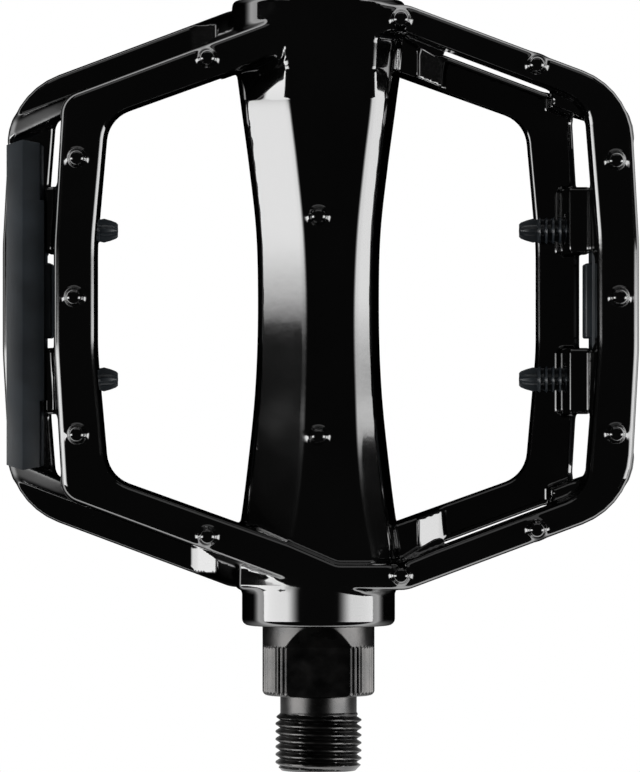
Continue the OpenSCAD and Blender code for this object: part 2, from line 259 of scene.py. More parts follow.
class Profile:
    """Distance to a closed outline, worked out once on a fine grid and read back smoothly."""

    def __init__(self, points, step=0.2, margin=8.0):
        low, high = points.min(0) - margin, points.max(0) + margin
        self.low, self.step = low, step
        u = np.arange(low[0], high[0] + step, step)[:, None]
        v = np.arange(low[1], high[1] + step, step)[None, :]
        self.table = polygon_distance(points, u, v)

    def __call__(self, u, v):
        u, v = np.broadcast_arrays(u, v)
        n, m = self.table.shape
        s = np.clip((u - self.low[0]) / self.step, 1, n - 2.001)
        t = np.clip((v - self.low[1]) / self.step, 1, m - 2.001)
        i, j = s.astype(int), t.astype(int)
        a, b = s - i, t - j
        across, along = cubic_weights(a), cubic_weights(b)
        out = 0.0
        for di in range(4):
            row = 0.0
            for dj in range(4):
                row = row + along[dj] * self.table[i + di - 1, j + dj - 1]
            out = out + across[di] * row
        return out


def cubic_weights(t):
    """Weights of four neighbours for a curve through the middle two."""
    return (-0.5 * t ** 3 + t ** 2 - 0.5 * t, 1.5 * t ** 3 - 2.5 * t ** 2 + 1,
            -1.5 * t ** 3 + 2 * t ** 2 + 0.5 * t, 0.5 * t ** 3 - 0.5 * t ** 2)


OUTLINE = Profile(plate_outline())
WINDOW = Profile(plate_window())
END_BLOCK = Profile(rounded([
    (-24, 33.6, 0), (-6, 39.9, 1), (3.1, 43.2, 1), (13.6, 43.2, 2), (19, 39.9, 2), (24, 38.3, 0),
    (24, 56, 0), (-24, 56, 0)]))
END_SECTION = Profile(rounded([
    (-16.5, -3, 0), (16.5, -3, 0), (*FLARE_WAIST, 1.2), (FLARE_HALF_X, 6.6, 0.8), (FLARE_HALF_X, 9, 0),
    (-FLARE_HALF_X, 9, 0), (-FLARE_HALF_X, 6.6, 0.8), (-FLARE_WAIST[0], FLARE_WAIST[1], 1.2)]))
CORNER_RIB = Profile(rounded([(38.5, 31.6, 0), (54, 25.8, 0), (54, 28.8, 0), (38.5, 34.6, 0)]))
PEG_WEB = Profile(rounded([
    (39.6, -10.5, 0.8), (43, -10.5, 0.5), (43.4, -7, 0.4), (45.2, -6.8, 0.5),
    (45.2, 6.9, 0.3), (48, 7.2, 0.3), (48, 10.2, 0.4), (46.2, 10.4, 0.4),
    (45.1, 8.4, 0.5), (44.6, 5.2, 0.5), (41.4, 5.2, 0.5)]))
# Where the outboard arm stops short of the barrel's top facet
NOTCH = Profile(rounded([
    (-13.2, 37.6, 0.5), (-9.7, 38.9, 2), (-7.0, 40.1, 1.5), (-6.0, 42, 1),
    (-5.6, 44.6, 0.3), (-4.6, 44.6, 0.3), (-4.6, 30, 0), (-13.2, 30, 0)]))


class Plan:
    """Distances that depend on x and y alone, worked out once for both plates."""

    def __init__(self, x, y):
        yr = y - CAGE_Y
        self.outline = OUTLINE(x - PLATE_SHIFT, yr)
        self.window = WINDOW(x - PLATE_SHIFT, yr)


def through(stations, column, v):
    """A smooth curve through one column of the stations."""
    at = np.array([s[0] for s in stations], float)
    value = np.array([s[column] for s in stations], float)
    slope = np.gradient(value, at)
    v = np.clip(v, at[0], at[-1])
    i = np.clip(np.searchsorted(at, v) - 1, 0, len(at) - 2)
    width = at[i + 1] - at[i]
    t = (v - at[i]) / width
    return ((1 + 2 * t) * (1 - t) ** 2 * value[i] + t * (1 - t) ** 2 * width * slope[i]
            + t * t * (3 - 2 * t) * value[i + 1] + t * t * (t - 1) * width * slope[i + 1])


def barrel(x, y, z):
    """Hourglass barrel with flat facets, alike after half a turn about the spindle."""
    yr = y - CAGE_Y
    w, t = through(BARREL_STATIONS, 1, yr), through(BARREL_STATIONS, 2, yr)
    rise = np.clip((yr - RISE[0]) / (RISE[1] - RISE[0]), 0, 1)
    h = BARREL_HALF_Z + RISE_HEIGHT * rise
    wide, narrow = FACET_SHARES[0] * w, FACET_SHARES[1] * w
    wide_z = h - (wide - t + FACET_SHIFT) * np.tan(np.radians(WIDE_FACET_ANGLE + STEEPER[0] * rise))
    narrow_z = (narrow - t - FACET_SHIFT) * np.tan(np.radians(NARROW_FACET_ANGLE + STEEPER[1] * rise)) - h
    corners = [(FACET_SHIFT + t, h), (FACET_SHIFT - t, h), (-wide, wide_z), (-w, WIDEST_LEVEL * h),
               (-narrow, narrow_z), (-FACET_SHIFT - t, -h)]
    out = None
    for k, ((ax, az), (bx, bz)) in enumerate(zip(corners, corners[1:])):
        ex, ez = bx - ax, bz - az
        size = np.sqrt(ex * ex + ez * ez)
        # Past the rise the top facet lies above the plates, so that the level cut makes them flush
        proud = PROUD * np.clip((rise - PROUD_FROM) / PROUD_SPAN, 0, 1) if k == 0 else 0.0
        for s in (1, -1):
            d = ((s * x - ax) * ez - (s * z - az) * ex) / size - proud
            out = d if out is None else smooth_meet(out, d, FACET_EDGE)
    return out


def plate(x, y, z, near):
    """Ring of the upper plate."""
    middle, half = (PLATE_TOP + PLATE_LOW) / 2, (PLATE_TOP - PLATE_LOW) / 2
    draft = PLATE_DRAFT * (z - PLATE_LOW)
    ring = smooth_meet(near.outline + draft, -near.window + draft, 0.4)
    ring = smooth_meet(ring, -NOTCH(x, y - CAGE_Y), 0.4)
    return round_meet(ring, np.abs(z - middle) - half, PLATE_EDGE)


def peg_webs(x, y, z):
    """The two webs that hold the pegs of the right-hand reflector."""
    out = None
    for low, high in WEB_SPANS:
        span = np.abs(y - CAGE_Y - (low + high) / 2) - (high - low) / 2
        web = round_meet(PEG_WEB(x, z), span, 0.8)
        out = web if out is None else np.minimum(out, web)
    return out


def end_blocks(x, y, z, walls):
    """Upper half of the blocks between the plates, flared under the plate."""
    block = smooth_meet(END_BLOCK(x, np.abs(y - CAGE_Y)), END_SECTION(x, z), 0.8)
    return smooth_meet(np.maximum(block, walls), z - PLATE_LOW - 0.1, 0.4)


def studs(x, y, z):
    """Domed studs with flared feet on one face."""
    places = [(PLATE_SHIFT + sx, sy, PLATE_TOP) for sx, sy in RAIL_STUDS]
    places += [(PLATE_SHIFT + sx, s * sy, PLATE_TOP) for sx, sy in ARM_STUDS for s in (1, -1)]
    places += [(0.0, sy, BARREL_HALF_Z) for sy in BARREL_STUDS]
    out = None
    for sx, sy, base in places:
        rho = np.hypot(x - sx, y - CAGE_Y - sy)
        middle = base + (STUD_HEIGHT - STUD_ROOT) / 2
        tall = np.abs(z - middle) - (STUD_HEIGHT + STUD_ROOT) / 2
        stud = round_meet(rho - STUD_R + STUD_TAPER * (z - base), tall, STUD_DOME)
        out = stud if out is None else np.minimum(out, stud)
    return out


def cage(x, y, z):
    """The whole casting."""
    yr = y - CAGE_Y
    near, far = Plan(x, y), Plan(-x, y)
    flat = np.abs(z) - PLATE_TOP
    body = round_meet(barrel(x, y, z), np.abs(yr) - HALF_Y, BODY_EDGE)
    body = smooth_meet(body, flat, LEVEL_EDGE)
    # Tight where the inboard band steps over the barrel, wide where the outboard arm meets it
    fillet = PLATE_FILLET + ARM_FILLET_MORE * smoothstep(-5, 5, yr)
    out = smooth_union(body, plate(x, y, z, near), fillet)
    out = smooth_union(out, plate(-x, y, -z, far), fillet)
    out = np.maximum(out, flat)
    # Walls between the two outlines, which slant from one plate to the other
    share = np.clip((PLATE_LOW - z) / (2 * PLATE_LOW), 0, 1)
    walls = near.outline * (1 - share) + far.outline * share + WALL_INSET
    rib_height = np.abs(z) - PLATE_LOW - 1
    rib = smooth_meet(np.maximum(walls, rib_height), CORNER_RIB(np.abs(x), np.abs(yr)), RIB_EDGE)
    out = smooth_union(out, rib, RIB_FILLET)
    out = smooth_union(out, end_blocks(x, y, z, walls), BLOCK_FILLET)
    out = smooth_union(out, end_blocks(-x, y, -z, walls), BLOCK_FILLET)
    out = smooth_union(out, np.minimum(peg_webs(x, y, z), peg_webs(-x, y, -z)), WEB_FILLET)
    rho = np.hypot(x, z)
    boss_length = np.maximum(BOSS_Y - y, y - BOSS_Y - BOSS_LENGTH)
    out = smooth_union(out, round_meet(rho - BOSS_R, boss_length, BOSS_EDGE), BOSS_FILLET)
    nose_length = np.maximum(NOSE_START_Y - y, y - NOSE_END_Y)
    nose = round_meet(smooth_meet(rho - NOSE_R, flat, NOSE_LEVEL_EDGE), nose_length, NOSE_EDGE)
    out = smooth_union(out, nose, NOSE_FILLET)
    out = np.maximum(out, flat)
    out = smooth_union(out, np.minimum(studs(x, y, z), studs(-x, y, -z)), STUD_FILLET)
    for r, low, high in BORES:
        out = smooth_cut(out, np.maximum(rho - r, np.maximum(low - y, y - high)), BORE_EDGE)
    for py in PEG_YS:
        hole = np.hypot(yr - py, z) - PEG_HOLE_R
        length = np.maximum(WEB_X - np.abs(x), np.abs(x) - PEG_HOLE_END)
        out = smooth_cut(out, np.maximum(hole, length), BORE_EDGE)
    return out


# ---------------------------------------------------------------- meshing
GRID_STEP = 0.42
TARGET_FACES = 175000


def axis_points(low, high, step):
    return np.arange(low, high + step, step)


def surface_nets(values, axes):
    """Quads round every grid edge that the surface crosses, with one vertex per crossed cell."""
    inside = values < 0
    cells = np.zeros(tuple(n - 1 for n in values.shape), np.uint8)
    shifts = [(i, j, k) for i in (0, 1) for j in (0, 1) for k in (0, 1)]

    def corner(array, s):
        return array[tuple(slice(d, n - 1 + d) for d, n in zip(s, values.shape))]

    for s in shifts:
        cells += corner(inside, s)
    active = np.nonzero((cells > 0) & (cells < 8))
    index = np.full(cells.shape, -1, np.int64)
    index[active] = np.arange(len(active[0]))
    total = np.zeros((len(active[0]), 3))
    count = np.zeros(len(active[0]))
    corner_values = {s: corner(values, s)[active] for s in shifts}
    for axis in range(3):
        for s in shifts:
            if s[axis]:
                continue
            e = tuple(1 if d == axis else s[d] for d in range(3))
            a, b = corner_values[s], corner_values[e]
            crossed = (a < 0) != (b < 0)
            t = np.where(crossed, a / np.where(crossed, a - b, 1), 0)
            point = np.tile(np.array(s, float), (len(t), 1))
            point[:, axis] = t
            total += point * crossed[:, None]
            count += crossed
    local = total / count[:, None]
    vertices = np.stack([axes[d][active[d]] + local[:, d] * (axes[d][1] - axes[d][0]) for d in range(3)], 1)
    quads = []
    for axis in range(3):
        u, v = (axis + 1) % 3, (axis + 2) % 3
        low = [slice(None)] * 3
        high = [slice(None)] * 3
        low[axis], high[axis] = slice(0, -1), slice(1, None)
        for d in (u, v):
            low[d] = high[d] = slice(1, -1)
        first, second = inside[tuple(low)], inside[tuple(high)]
        at = np.nonzero(first != second)
        spot = [at[0].copy(), at[1].copy(), at[2].copy()]
        ring = []
        for du, dv in ((0, 0), (1, 0), (1, 1), (0, 1)):
            where = [p.copy() for p in spot]
            where[u] = spot[u] + du
            where[v] = spot[v] + dv
            ring.append(index[tuple(where)])
        ring = np.stack(ring, 1)
        flip = second[at]
        ring[flip] = ring[flip][:, ::-1]
        quads.append(ring)
    return vertices, np.concatenate(quads)


def gradient(field, p, h=0.03):
    out = np.empty_like(p)
    for d in range(3):
        step = np.zeros(3)
        step[d] = h
        high, low = p + step, p - step
        out[:, d] = (field(*high.T) - field(*low.T)) / (2 * h)
    return out


def quick_gradient(field, p, here, h=0.02):
    """One-sided differences, enough to aim a step."""
    out = np.empty_like(p)
    for d in range(3):
        step = np.zeros(3)
        step[d] = h
        out[:, d] = (field(*(p + step).T) - here) / h
    return out


def onto_surface(field, p, rounds):
    """Moves points onto the field's zero surface, by at most a third of a grid step a time."""
    for _ in range(rounds):
        here = field(*p.T)
        g = quick_gradient(field, p, here)
        step = -(here / np.maximum((g * g).sum(1), 0.04))[:, None] * g
        size = np.linalg.norm(step, axis=1)[:, None]
        p = p + step * np.minimum(1, GRID_STEP / 3 / np.maximum(size, 1e-9))
    return p


def new_mesh(name, vertices, faces, smooth=True):
    mesh = bpy.data.meshes.new(name)
    vertices = np.asarray(vertices, float) * MM
    if isinstance(faces, np.ndarray):
        sides = faces.shape[1]
        mesh.vertices.add(len(vertices))
        mesh.vertices.foreach_set("co", vertices.astype(np.float32).ravel())
        mesh.loops.add(faces.size)
        mesh.loops.foreach_set("vertex_index", faces.astype(np.int32).ravel())
        mesh.polygons.add(len(faces))
        mesh.polygons.foreach_set("loop_start", np.arange(0, faces.size, sides, dtype=np.int32))
        mesh.update(calc_edges=True)
    else:
        mesh.from_pydata(vertices.tolist(), [], [list(map(int, f)) for f in faces])
    mesh.validate()
    obj = bpy.data.objects.new(name, mesh)
    bpy.context.scene.collection.objects.link(obj)
    if smooth:
        mesh.shade_smooth()
    return obj


def modified(obj, kind, **settings):
    """Applies one modifier and leaves none on the object."""
    bpy.context.view_layer.objects.active = obj
    m = obj.modifiers.new(kind.lower(), kind)
    for key, value in settings.items():
        setattr(m, key, value)
    bpy.ops.object.modifier_apply(modifier=m.name)
    return obj


def weld_and_face_out(obj):
    """Merges doubled points and turns every face outwards."""
    bm = bmesh.new()
    bm.from_mesh(obj.data)
    bmesh.ops.remove_doubles(bm, verts=bm.verts, dist=0.001 * MM)
    bmesh.ops.recalc_face_normals(bm, faces=bm.faces)
    bm.to_mesh(obj.data)
    bm.free()


def vertex_array(mesh):
    out = np.empty(len(mesh.vertices) * 3, np.float32)
    mesh.vertices.foreach_get("co", out)
    return out.reshape(-1, 3).astype(float) / MM


def cast_cage():
    margin = 2 * GRID_STEP
    axes = [axis_points(CAGE_LOW[d] - margin, CAGE_HIGH[d] + margin, GRID_STEP) for d in range(3)]
    grid = np.meshgrid(*axes, indexing="ij", sparse=True)
    vertices, quads = surface_nets(cage(*grid), axes)
    vertices = onto_surface(cage, vertices, 1)
    obj = new_mesh("cage_casting", vertices, quads)
    faces = 2 * len(quads)
    if faces > TARGET_FACES:
        modified(obj, "DECIMATE", ratio=TARGET_FACES / faces)
    mesh = obj.data
    p = onto_surface(cage, vertex_array(mesh), 2)
    p = np.clip(p, CAGE_LOW, CAGE_HIGH)
    mesh.vertices.foreach_set("co", (p * MM).ravel())
    normals = gradient(cage, p)
    normals /= np.maximum(np.linalg.norm(normals, axis=1), 1e-9)[:, None]
    mesh.shade_smooth()
    mesh.normals_split_custom_set_from_vertices(normals.tolist())
    mesh.update()
    return obj


# ---------------------------------------------------------------- turned pieces
def turned(name, rings, steps, radius, crease):
    """A closed mesh of rings about the spindle axis. rings are (y, key); radius(angle, y, key) gives r."""
    angle = 2 * math.pi * np.arange(steps) / steps
    vertices = []
    for y, key in rings:
        r = radius(angle, y, key)
        vertices.append(np.stack([r * np.sin(angle), np.full(steps, y), r * np.cos(angle)], 1))
    n = len(rings)
    vertices = np.concatenate(vertices)
    around = np.arange(steps)
    after = (around + 1) % steps
    faces = []
    for k in range(n - 1):
        a, b = k * steps, (k + 1) * steps
        faces += np.stack([a + around, a + after, b + after, b + around], 1).tolist()
    middle = [[0, rings[0][0], 0], [0, rings[-1][0], 0]]
    vertices = np.concatenate([vertices, middle])
    first, last, end = n * steps, n * steps + 1, (n - 1) * steps
    faces += [[first, int(j), int(i)] for i, j in zip(around, after)]
    faces += [[last, int(end + i), int(end + j)] for i, j in zip(around, after)]
    obj = new_mesh(name, vertices, faces)
    obj.data.set_sharp_from_angle(angle=math.radians(crease))
    return obj


THREAD_PITCH = 1.27
THREAD_R = 7.144
THREAD_DEPTH = 0.74
NECK_Y = -2.7
NECK_R = 6.35
COLLAR_R = 9.3
COLLAR_END = 13.4
KNURL = (0.35, 8.2)
KNURL_TEETH = 58
KNURL_DEPTH = 0.28
FLAT_Z = 7.5
FLAT_END = 8.1
FLAT_RISE = 0.47
# Rounded start of the collar: Y and how much smaller its radius is there
COLLAR_CORNER = ((0, 0.75), (0.06, 0.5), (0.22, 0.25), (0.45, 0.08))
# Inboard race: radius of the ball circle, its Y, radius of the groove
RACE = (7.2, 16.6, 2.03)
SPINDLE_STEPS = 360


def thread_radius(angle, y):
    """Left-hand thread: its ridges fall towards +X on the upper side."""
    phase = y / THREAD_PITCH + angle / (2 * math.pi)
    ridge = np.abs((phase % 1) * 2 - 1)
    ridge = np.clip(ridge * 1.35 - 0.1, 0, 1)
    full = THREAD_R - THREAD_DEPTH * (1 - ridge)
    depth = np.clip((NECK_Y - 0.15 - y) / 0.9, 0, 1)
    lead = np.clip(THREAD_R - 1.0 + (y - SPINDLE_LOW[1]), 0, THREAD_R)
    return np.minimum(NECK_R + (full - NECK_R) * depth, lead)


def collar_radius(angle, y, r):
    """Knurled collar with two flats that run out in curves at their outboard ends."""
    knurled = smoothstep(KNURL[0] - 0.1, KNURL[0] + 0.25, y)
    knurled = knurled * (1 - smoothstep(KNURL[1] - 0.2, KNURL[1] + 0.1, y))
    tooth = np.abs((angle * KNURL_TEETH / (2 * math.pi)) % 1 * 2 - 1)
    r = r - knurled * KNURL_DEPTH * np.clip(1.5 * tooth - 0.25, 0, 1)
    flat = FLAT_Z + FLAT_RISE * max(0.0, y - FLAT_END)
    return np.minimum(r, flat / np.maximum(np.abs(np.cos(angle)), 1e-6))


def spindle_radius(angle, y, key):
    kind, r = key
    if kind == "thread":
        return thread_radius(angle, y)
    if kind == "collar":
        return collar_radius(angle, y, r)
    return np.full(len(angle), r)


def plain_rings(*stations):
    """Plain round rings from (y, radius) pairs."""
    return [(y, ("plain", r)) for y, r in stations]


def machined_spindle():
    """From the centre hole in the crank end to the threaded tip at the outboard end."""
    end, tip = SPINDLE_LOW[1], SPINDLE_HIGH[1]
    rings = plain_rings((end + 1.4, 0.3), (end + 0.5, 1.6), (end + 0.06, 2.5), (end, 2.7))
    rings += [(y, ("thread", 0)) for y in np.arange(end, NECK_Y - 0.1, THREAD_PITCH / 13)]
    rings += plain_rings((NECK_Y, NECK_R), (-0.25, NECK_R), (-0.05, NECK_R + 0.15), (0, NECK_R + 0.4))
    rings += [(y, ("collar", COLLAR_R - less)) for y, less in COLLAR_CORNER]
    rings += [(y, ("collar", COLLAR_R)) for y in np.arange(0.7, FLAT_END, 0.35)]
    rings += [(y, ("collar", COLLAR_R)) for y in np.arange(FLAT_END, COLLAR_END - 0.25, 0.22)]
    rings += plain_rings((COLLAR_END - 0.15, COLLAR_R - 0.05), (COLLAR_END, COLLAR_R - 0.2),
                         (COLLAR_END, 8.5), (COLLAR_END + 0.1, 8.4), (15.2, 8.4))
    ball_r, ball_y, groove = RACE
    for t in np.linspace(math.radians(-49), math.radians(-178), 12):
        rings += plain_rings((ball_y + groove * math.sin(t), ball_r + groove * math.cos(t)))
    rings += plain_rings((16.9, 5.1), (30, 5.0), (60, 4.75), (94.8, 4.4), (95, 4.2))
    for i, y in enumerate(np.arange(95.6, tip - 0.9, 0.5)):
        rings += plain_rings((y, 4.0 - 0.22 * (i % 2)))
    rings += plain_rings((tip - 0.5, 3.95), (tip, 3.5))
    return turned("spindle_turned", rings, SPINDLE_STEPS, spindle_radius, crease=30)


# ---------------------------------------------------------------- reflectors
REFLECTOR_HALF = 27.25
REFLECTOR_Y = CAGE_Y - 1.25
REFLECTOR_Z = 1.15
REFLECTOR_TALL = 7.35
REFLECTOR_THICK = 6.2
RIDGE_X = 2.9
SIDE_DROP = 0.55
RIM = 1.5
POCKET = 2.0
LUG_YS = (-17.0, 16.0)
LUG_STEP = 0.7
END_SLANT = 0.9
RIDGE_SHIFT = 0.2
END_ROOF = 0.6
SHARP_ANGLE = math.radians(40)
# Pad on the housing's back: how far it stands out, its length and its height
BULGE = (1.1, 12.4, 11.0)
BULGE_Y = CAGE_Y - 0.5


def half_turned(vertices, side):
    """The same points after half a turn about the spindle, for the +X side."""
    v = np.array(vertices, float)
    if side > 0:
        v[:, 0] *= -1
        v[:, 2] *= -1
    return v


def housing_block(side):
    """Roofed bar whose middle stands out towards the cage, with a pocket in its outer face."""
    outer, inner = -REFLECTOR_X - REFLECTOR_THICK, -REFLECTOR_X
    ridge = outer + RIDGE_X - RIDGE_SHIFT
    rings = []
    lugs = [CAGE_Y + y for y in LUG_YS]
    ends = [REFLECTOR_Y - REFLECTOR_HALF, REFLECTOR_Y + REFLECTOR_HALF]
    stations = [(ends[0], LUG_STEP, 1), (lugs[0], LUG_STEP, 0), (lugs[0], 0, 0),
                (lugs[1], 0, 0), (lugs[1], LUG_STEP, 0), (ends[1], LUG_STEP, -1)]
    tall = REFLECTOR_TALL
    for y, step, end in stations:
        low_half = [(outer, -tall + SIDE_DROP, END_SLANT), (ridge, -tall, 0),
                    (inner - step, -tall + SIDE_DROP, END_ROOF)]
        section = low_half + [(x, -z, back) for x, z, back in reversed(low_half)]
        rings.append([(x, y + end * back, REFLECTOR_Z + z) for x, z, back in section])
    n = len(rings[0])
    vertices = [p for ring in rings for p in ring]
    faces = []
    for k in range(len(rings) - 1):
        for i in range(n):
            j = (i + 1) % n
            # The outer face is left open here, because its rim and pocket close it
            if i != n - 1:
                faces.append((k * n + i, k * n + j, (k + 1) * n + j, (k + 1) * n + i))
    faces.append(tuple(reversed(range(n))))
    faces.append(tuple(range((len(rings) - 1) * n, len(rings) * n)))
    low, high = ends[0] + END_SLANT + RIM, ends[1] - END_SLANT - RIM
    z0, z1 = REFLECTOR_Z - tall + RIM, REFLECTOR_Z + tall - RIM
    pocket = len(vertices)
    for x in (outer, outer + POCKET):
        vertices += [(x, low, z0), (x, high, z0), (x, high, z1), (x, low, z1)]
    faces += [(pocket + i, pocket + (i + 1) % 4, pocket + 4 + (i + 1) % 4, pocket + 4 + i) for i in range(4)]
    faces.append((pocket + 4, pocket + 5, pocket + 6, pocket + 7))
    bottom = [k * n for k in range(len(rings))]
    top = [k * n + n - 1 for k in range(len(rings))]
    faces += [tuple(bottom) + (pocket + 1, pocket), tuple(reversed(top)) + (pocket + 3, pocket + 2)]
    faces += [(top[0], bottom[0], pocket, pocket + 3), (bottom[-1], top[-1], pocket + 2, pocket + 1)]
    obj = new_mesh("reflector_housing_shell", half_turned(vertices, side), faces, smooth=False)
    weld_and_face_out(obj)
    modified(obj, "BEVEL", width=0.28 * MM, segments=3, limit_method="ANGLE", angle_limit=math.radians(6))
    obj.data.shade_smooth()
    obj.data.set_sharp_from_angle(angle=SHARP_ANGLE)
    return obj


BARB_PITCH = 1.15
BARB_START = 1.4
BARBS = 7
PEG_LENGTH = 11.9
PEG_R = 2.2
PEG_STEPS = 48
# Along a barb: distance from its foot, radius of the core, radius of the fins
BARB = ((0, 1.05, 1.85), (0.1, PEG_R, PEG_R), (0.38, PEG_R - 0.15, PEG_R - 0.15), (0.6, 1.05, 1.85))
PEG_TIP = ((9.6, 1.1, 2.0), (10.7, 1.0, 1.7), (11.6, 0.85, 1.35), (PEG_LENGTH, 0.6, 1.05))


def peg(side, y):
    """Barbed push-in peg: thin discs on a cross-shaped core with a tapered tip."""
    steps = PEG_STEPS
    angle = 2 * math.pi * np.arange(steps) / steps
    cross = np.clip((np.abs(np.cos(2 * angle)) - 0.72) / 0.2, 0, 1)
    profile = [(-0.5, 1.2, 1.2), (0.6, 1.2, 1.2)]
    for i in range(BARBS):
        profile += [(BARB_START + i * BARB_PITCH + d, core, fin) for d, core, fin in BARB]
    profile += PEG_TIP
    vertices, faces = [], []
    for d, core, fin in profile:
        r = core + (fin - core) * cross
        vertices += [(-REFLECTOR_X + d, CAGE_Y + y + q * math.cos(a), q * math.sin(a))
                     for q, a in zip(r, angle)]
    n = len(profile)
    for k in range(n - 1):
        for i in range(steps):
            j = (i + 1) % steps
            faces.append((k * steps + i, k * steps + j, (k + 1) * steps + j, (k + 1) * steps + i))
    faces.append(tuple(range((n - 1) * steps, n * steps)))
    faces.append(tuple(reversed(range(steps))))
    obj = new_mesh("peg", half_turned(vertices, side), faces)
    weld_and_face_out(obj)
    obj.data.shade_smooth()
    obj.data.set_sharp_from_angle(angle=SHARP_ANGLE)
    return obj


def joined(objects, name):
    bpy.ops.object.select_all(action="DESELECT")
    for o in objects:
        o.select_set(True)
    bpy.context.view_layer.objects.active = objects[0]
    bpy.ops.object.join()
    objects[0].name = name
    objects[0].data.name = name
    return objects[0]


def bulge(side):
    """Pad on the housing's back, between the two peg webs."""
    deep, long, tall = BULGE
    root, face = -REFLECTOR_X - 0.5, -REFLECTOR_X + deep
    vertices = [(x, BULGE_Y + b * long / 2, REFLECTOR_Z + c * tall / 2)
                for x in (root, face) for b, c in ((-1, -1), (1, -1), (1, 1), (-1, 1))]
    faces = [(0, 1, 2, 3), (4, 5, 6, 7)] + [(i, (i + 1) % 4, (i + 1) % 4 + 4, i + 4) for i in range(4)]
    obj = new_mesh("reflector_pad", half_turned(vertices, side), faces, smooth=False)
    weld_and_face_out(obj)
    modified(obj, "BEVEL", width=0.35 * MM, segments=3)
    obj.data.shade_smooth()
    obj.data.set_sharp_from_angle(angle=SHARP_ANGLE)
    return obj


def reflector_housing(side, name):
    """Housing, pad and pegs as one moulding."""
    return joined([housing_block(side), bulge(side)] + [peg(side, y) for y in PEG_YS], name)


PRISM = 1.3
PRISM_DEPTH = 0.35
LENS_INSET = 0.35
LENS_GAP = 0.06
LENS_BORDER = 1.2


def reflector_lens(side, name):
    """Lens whose outer face is a field of small pyramids inside a smooth border."""
    outer = -REFLECTOR_X - REFLECTOR_THICK + LENS_INSET
    back = -REFLECTOR_X - REFLECTOR_THICK + POCKET
    half_y = REFLECTOR_HALF - END_SLANT - RIM - LENS_GAP
    half_z = REFLECTOR_TALL - RIM - LENS_GAP
    border = LENS_BORDER
    columns = 2 * int((half_y - border) * 2 / PRISM) + 1
    rows = 2 * int((half_z - border) * 2 / PRISM) + 1
    ys = np.concatenate([[-half_y], np.linspace(-half_y + border, half_y - border, columns), [half_y]])
    zs = np.concatenate([[-half_z], np.linspace(-half_z + border, half_z - border, rows), [half_z]])
    vertices = []
    for i, y in enumerate(ys):
        for j, z in enumerate(zs):
            in_field = 1 < i < len(ys) - 2 and 1 < j < len(zs) - 2
            peak = in_field and i % 2 == 0 and j % 2 == 0
            edge = 0.15 if i in (0, len(ys) - 1) or j in (0, len(zs) - 1) else 0.0
            deep = 0.0 if peak else PRISM_DEPTH if in_field else 0.1
            vertices.append((outer + edge + deep, REFLECTOR_Y + y, REFLECTOR_Z + z))
    m = len(zs)
    faces = [(i * m + j, i * m + j + 1, (i + 1) * m + j + 1, (i + 1) * m + j)
             for i in range(len(ys) - 1) for j in range(m - 1)]
    rim = [i * m for i in range(len(ys))] + [(len(ys) - 1) * m + j for j in range(1, m)]
    rim += [i * m + m - 1 for i in range(len(ys) - 2, -1, -1)] + list(range(m - 2, 0, -1))
    start = len(vertices)
    vertices += [(back, vertices[v][1], vertices[v][2]) for v in rim]
    k = len(rim)
    faces += [(rim[i], start + i, start + (i + 1) % k, rim[(i + 1) % k]) for i in range(k)]
    faces.append(tuple(start + i for i in range(k)))
    obj = new_mesh(name, half_turned(vertices, side), faces, smooth=False)
    weld_and_face_out(obj)
    return obj


# ---------------------------------------------------------------- materials
NOISE_RANGE = (0.35, 0.7)
COAT_ROUGHNESS = 0.03
PAINT_BLACK = (0.0008, 0.0018)
WARM_TINT = (1, 0.97, 0.95)
ZINC_TINT = (1, 1, 0.97)
COOL_TINTS = ((0.8, 0.95, 1.1), (0.8, 1, 1.2))
AMBERS = ((0.72, 0.16, 0.004), (0.9, 0.27, 0.01))


def material(name, base, rough, metallic=0.0, coat=0.0, colour_scale=80.0, bump_scale=600.0, bump=0.0):
    """A Principled material. base and rough are (low, high) pairs that noise mixes."""
    mat = bpy.data.materials.new(name)
    mat.use_nodes = True
    nodes, links = mat.node_tree.nodes, mat.node_tree.links
    shader = nodes["Principled BSDF"]
    shader.inputs["Metallic"].default_value = metallic
    shader.inputs["Coat Weight"].default_value = coat
    shader.inputs["Coat Roughness"].default_value = COAT_ROUGHNESS
    place = nodes.new("ShaderNodeTexCoord")
    noise = nodes.new("ShaderNodeTexNoise")
    noise.inputs["Scale"].default_value = colour_scale
    noise.inputs["Detail"].default_value = 5.0
    links.new(place.outputs["Object"], noise.inputs["Vector"])
    ramp = nodes.new("ShaderNodeValToRGB")
    for element, position, colour in zip(ramp.color_ramp.elements, NOISE_RANGE, base):
        element.position = position
        element.color = (*colour, 1)
    links.new(noise.outputs["Fac"], ramp.inputs["Fac"])
    links.new(ramp.outputs["Color"], shader.inputs["Base Color"])
    spread = nodes.new("ShaderNodeMapRange")
    spread.inputs["From Min"].default_value = NOISE_RANGE[0]
    spread.inputs["From Max"].default_value = NOISE_RANGE[1]
    spread.inputs["To Min"].default_value = rough[0]
    spread.inputs["To Max"].default_value = rough[1]
    links.new(noise.outputs["Fac"], spread.inputs["Value"])
    links.new(spread.outputs["Result"], shader.inputs["Roughness"])
    if bump:
        fine = nodes.new("ShaderNodeTexNoise")
        fine.inputs["Scale"].default_value = bump_scale
        fine.inputs["Detail"].default_value = 2.0
        links.new(place.outputs["Object"], fine.inputs["Vector"])
        relief = nodes.new("ShaderNodeBump")
        relief.inputs["Strength"].default_value = 1.0
        relief.inputs["Distance"].default_value = bump
        links.new(fine.outputs["Fac"], relief.inputs["Height"])
        links.new(relief.outputs["Normal"], shader.inputs["Normal"])
    return mat


def grey(v, tint=(1, 1, 1)):
    """A grey of linear value v, or a slightly tinted one."""
    return tuple(v * t for t in tint)


